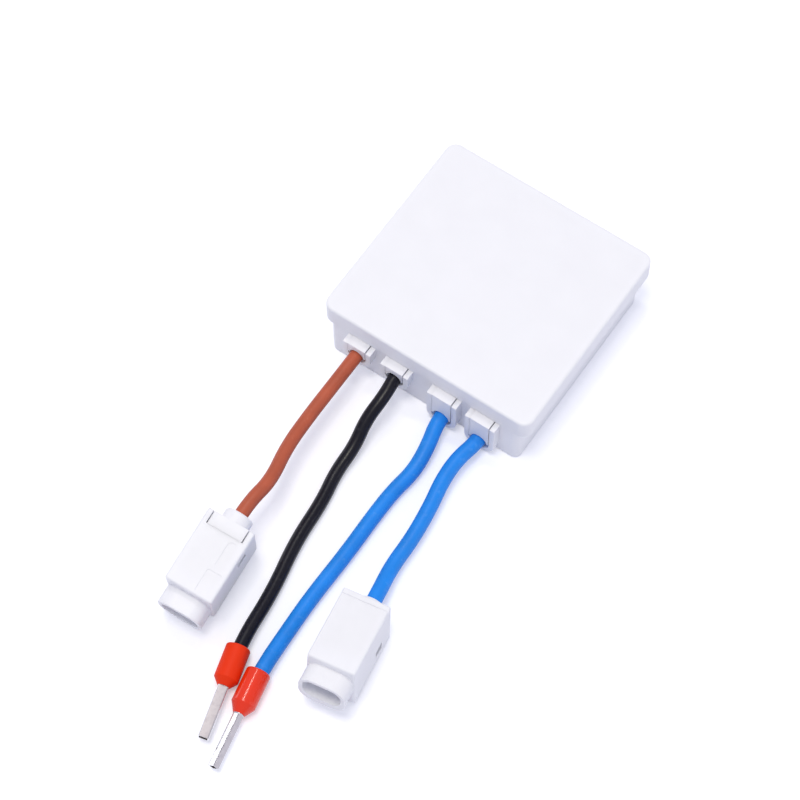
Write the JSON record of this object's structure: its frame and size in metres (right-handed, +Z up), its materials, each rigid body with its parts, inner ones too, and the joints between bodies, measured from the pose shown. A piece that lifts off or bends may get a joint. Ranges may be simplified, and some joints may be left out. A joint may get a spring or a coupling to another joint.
{
  "type": "in-wall micro module",
  "caption": "Flat square relay module for a wall box, with a lift-off cover over a wired tray, flying wires, push-in terminals and crimped ferrules.",
  "frame": {"origin": "on the underside of the base, below the middle of the housing's box including its wire cradles", "axes": "+Z up through the cover, +X along the front with the two blue wires, -Y the way the wires leave"},
  "size_m": [0.0371, 0.098, 0.012],
  "materials": {
    "housing_white": "fine satin moulded surface",
    "terminal_white": "smooth moulded polyamide",
    "brown_insulation": "satin insulation",
    "black_insulation": "satin insulation",
    "blue_insulation": "satin insulation",
    "ferrule_orange": "smooth collar plastic",
    "tinned_copper": "tin plated, crimped",
    "copper_strands": "bare stranded copper",
    "board_green": "solder mask on glass fibre",
    "radio_board_black": "dark solder mask",
    "solder": "bright solder",
    "relay_blue": "moulded relay case",
    "relay_black": "moulded relay base",
    "bobbin_nylon": "natural nylon",
    "enamelled_copper": "wound enamelled wire",
    "soft_iron": "nickel plated iron",
    "contact_copper": "copper alloy strip with silver contact",
    "capacitor_sleeve": "shrunk sleeve on an aluminium can",
    "film_box": "potted box",
    "varistor_coat": "dipped coating",
    "resistor_coat": "cement coating",
    "ferrite": "sintered ferrite",
    "chip_black": "moulded epoxy",
    "shield_steel": "tin plated sheet",
    "antenna_gold": "gold plated copper",
    "ceramic": "sintered ceramic",
    "switch_steel": "pressed steel frame",
    "plunger_grey": "moulded",
    "key_grey": "moulded",
    "clear_acrylic": "polished clear acrylic",
    "lamp_body": "lamp with a yellow window",
    "terminal_copper": "tinned copper bar",
    "spring_steel": "stainless spring strip"
  },
  "bodies": {
    "module": {"base": "housing_white", "live_clamps": "housing_white", "neutral_clamps": "housing_white", "tail_brown": "brown_insulation", "tail_black": "black_insulation", "tail_long_blue": "blue_insulation", "tail_short_blue": "blue_insulation", "circuit_board": "board_green", "solder_joints": "solder", "relay_case": "relay_blue", "relay_base": "relay_black", "relay_pins": "contact_copper", "relay_bobbin": "bobbin_nylon", "relay_coil": "enamelled_copper", "relay_core": "soft_iron", "relay_yoke": "soft_iron", "relay_fixed_contact": "contact_copper", "smoothing_capacitor": "capacitor_sleeve", "film_capacitor": "film_box", "varistor": "varistor_coat", "fusible_resistor": "resistor_coat", "choke_core": "ferrite", "choke_winding": "enamelled_copper", "power_chip": "chip_black", "bridge_rectifier": "chip_black", "radio_board": "radio_board_black", "radio_shield": "shield_steel", "radio_antenna": "antenna_gold", "small_parts": "ceramic", "pairing_switch": "switch_steel", "light_pipe": "clear_acrylic", "status_lamp": "lamp_body", "black_ferrule_collar": "ferrule_orange", "black_ferrule_pin": "tinned_copper", "black_ferrule_strands": "copper_strands", "blue_ferrule_collar": "ferrule_orange", "blue_ferrule_pin": "tinned_copper", "blue_ferrule_strands": "copper_strands", "brown_wire": "brown_insulation", "black_wire": "black_insulation", "long_blue_wire": "blue_insulation", "short_blue_wire": "blue_insulation", "left_casing": "terminal_white", "left_end_cap": "terminal_white", "left_contact_bar": "terminal_copper", "left_spring": "spring_steel", "left_conductor": "copper_strands", "right_casing": "terminal_white", "right_end_cap": "terminal_white", "right_contact_bar": "terminal_copper", "right_spring": "spring_steel", "right_conductor": "copper_strands"},
    "cover": {"cover": "housing_white"},
    "relay_armature": {"relay_armature": "soft_iron", "relay_moving_contact": "contact_copper"},
    "pairing_key": {"pairing_key": "key_grey", "switch_plunger": "plunger_grey"},
    "left_clamp_leaf": {"left_leaf": "spring_steel"},
    "right_clamp_leaf": {"right_leaf": "spring_steel"}
  },
  "joints": [
    {"name": "cover_lift", "type": "slide", "parent": "module", "child": "cover", "axis": [0, 0, 1], "range_m": [0, 0.015]},
    {"name": "relay_armature_hinge", "type": "hinge", "parent": "module", "child": "relay_armature", "pos_m": [-0.0016, 0.00555, 0.00735], "axis": [0, 0, 1], "range_deg": [0, 4], "stiffness_Nm_per_rad": 0.004, "springref_deg": -5.73},
    {"name": "pairing_key_press", "type": "slide", "parent": "module", "child": "pairing_key", "axis": [0, 0, 1], "range_m": [0, 0.00025], "stiffness_N_per_m": 800, "springref_m": -0.001},
    {"name": "left_leaf_hinge", "type": "hinge", "parent": "module", "child": "left_clamp_leaf", "pos_m": [-0.00896, -0.05863, 0.00232], "axis": [-0.9936, -0.0729, 0.0863], "range_deg": [0, 18], "stiffness_Nm_per_rad": 0.05, "springref_deg": -17.19},
    {"name": "right_leaf_hinge", "type": "hinge", "parent": "module", "child": "right_clamp_leaf", "pos_m": [0.01454, -0.05778, 0.00828], "axis": [0.9866, 0.1633, 0], "range_deg": [0, 18], "stiffness_Nm_per_rad": 0.05, "springref_deg": -17.19}
  ]
}
